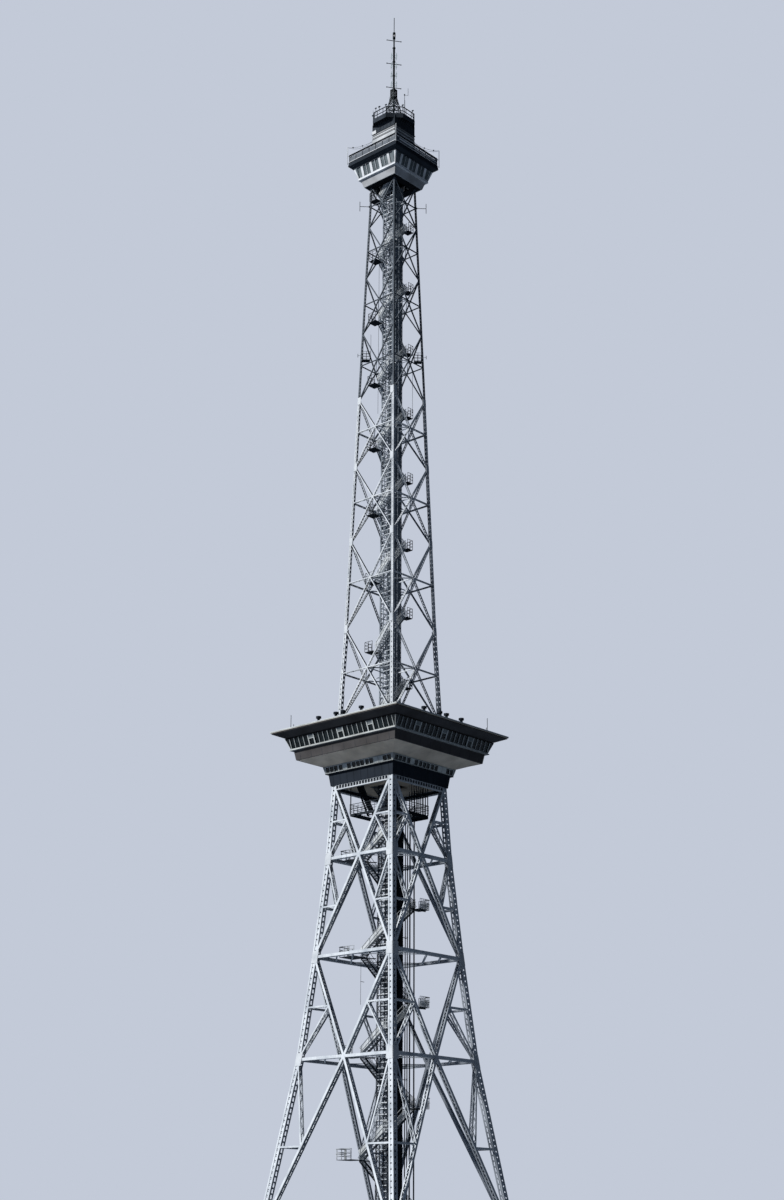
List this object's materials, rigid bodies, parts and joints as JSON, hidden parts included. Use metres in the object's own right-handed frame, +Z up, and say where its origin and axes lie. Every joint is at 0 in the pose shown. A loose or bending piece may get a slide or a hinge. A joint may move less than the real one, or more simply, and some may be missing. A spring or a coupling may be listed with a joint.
{
  "type": "1:10 scale model of a lattice radio mast",
  "caption": "Square tapering lattice mast with a hanging restaurant storey, a windowed look-out cabin, a gallery and a slim antenna tube, as a 1:10 model.",
  "frame": {"origin": "centre of the underside of the lift shaft's pad, at ground level", "axes": "+Z up along the mast, -Y out of the front side, +X to the right of it"},
  "size_m": [2, 2, 14.69],
  "materials": {
    "cabin_cladding": "white paint",
    "concrete": "cast concrete",
    "dark_cladding": "dark sheet",
    "floor_deck": "deck sheet",
    "grey_cladding": "light grey sheet",
    "light_steel": "light grey paint",
    "lower_steel": "grey paint",
    "mast_paint": "dark green grey paint",
    "parapet_panel": "grey panel",
    "restaurant_cladding": "brown grey sheet with white frames",
    "shaft_steel": "dark grey paint",
    "soffit_cladding": "brown grey sheet",
    "stair_steel": "galvanised and painted",
    "upper_steel": "grey paint",
    "window_glass": "tinted"
  },
  "bodies": {
    "root": {"back_lower_bracing": "lower_steel", "back_upper_lattice": "upper_steel", "cabin_floor": "floor_deck", "cabin_walls": "cabin_cladding", "deck": "floor_deck", "deck_fascia": "dark_cladding", "deck_parapet": "parapet_panel", "front_lower_bracing": "lower_steel", "front_upper_lattice": "upper_steel", "gallery": "grey_cladding", "gallery_railing": "light_steel", "gusset_plates": "light_steel", "kitchen_floor": "floor_deck", "kitchen_walls": "dark_cladding", "left_lower_bracing": "lower_steel", "left_upper_lattice": "upper_steel", "leg_plinths": "concrete", "leg_shoes": "lower_steel", "level_struts": "lower_steel", "lift_shaft_frame": "shaft_steel", "lift_shaft_pad": "concrete", "lower_legs": "lower_steel", "machine_room": "grey_cladding", "mast_beacon": "mast_paint", "mast_box": "mast_paint", "mast_crossbars": "mast_paint", "mast_foot": "mast_paint", "mast_tube": "mast_paint", "mast_whip": "mast_paint", "restaurant_eaves": "soffit_cladding", "restaurant_floor": "floor_deck", "restaurant_roof": "floor_deck", "restaurant_soffit": "soffit_cladding", "restaurant_walls": "restaurant_cladding", "right_lower_bracing": "lower_steel", "right_upper_lattice": "upper_steel", "ring_beam": "dark_cladding", "service_pipes": "shaft_steel", "service_platform": "light_steel", "stair_brackets": "stair_steel", "stair_landings": "stair_steel", "stair_railings": "light_steel", "stair_stringers": "stair_steel", "stair_treads": "stair_steel", "upper_legs": "upper_steel", "window_glass": "window_glass"}
  },
  "joints": []
}
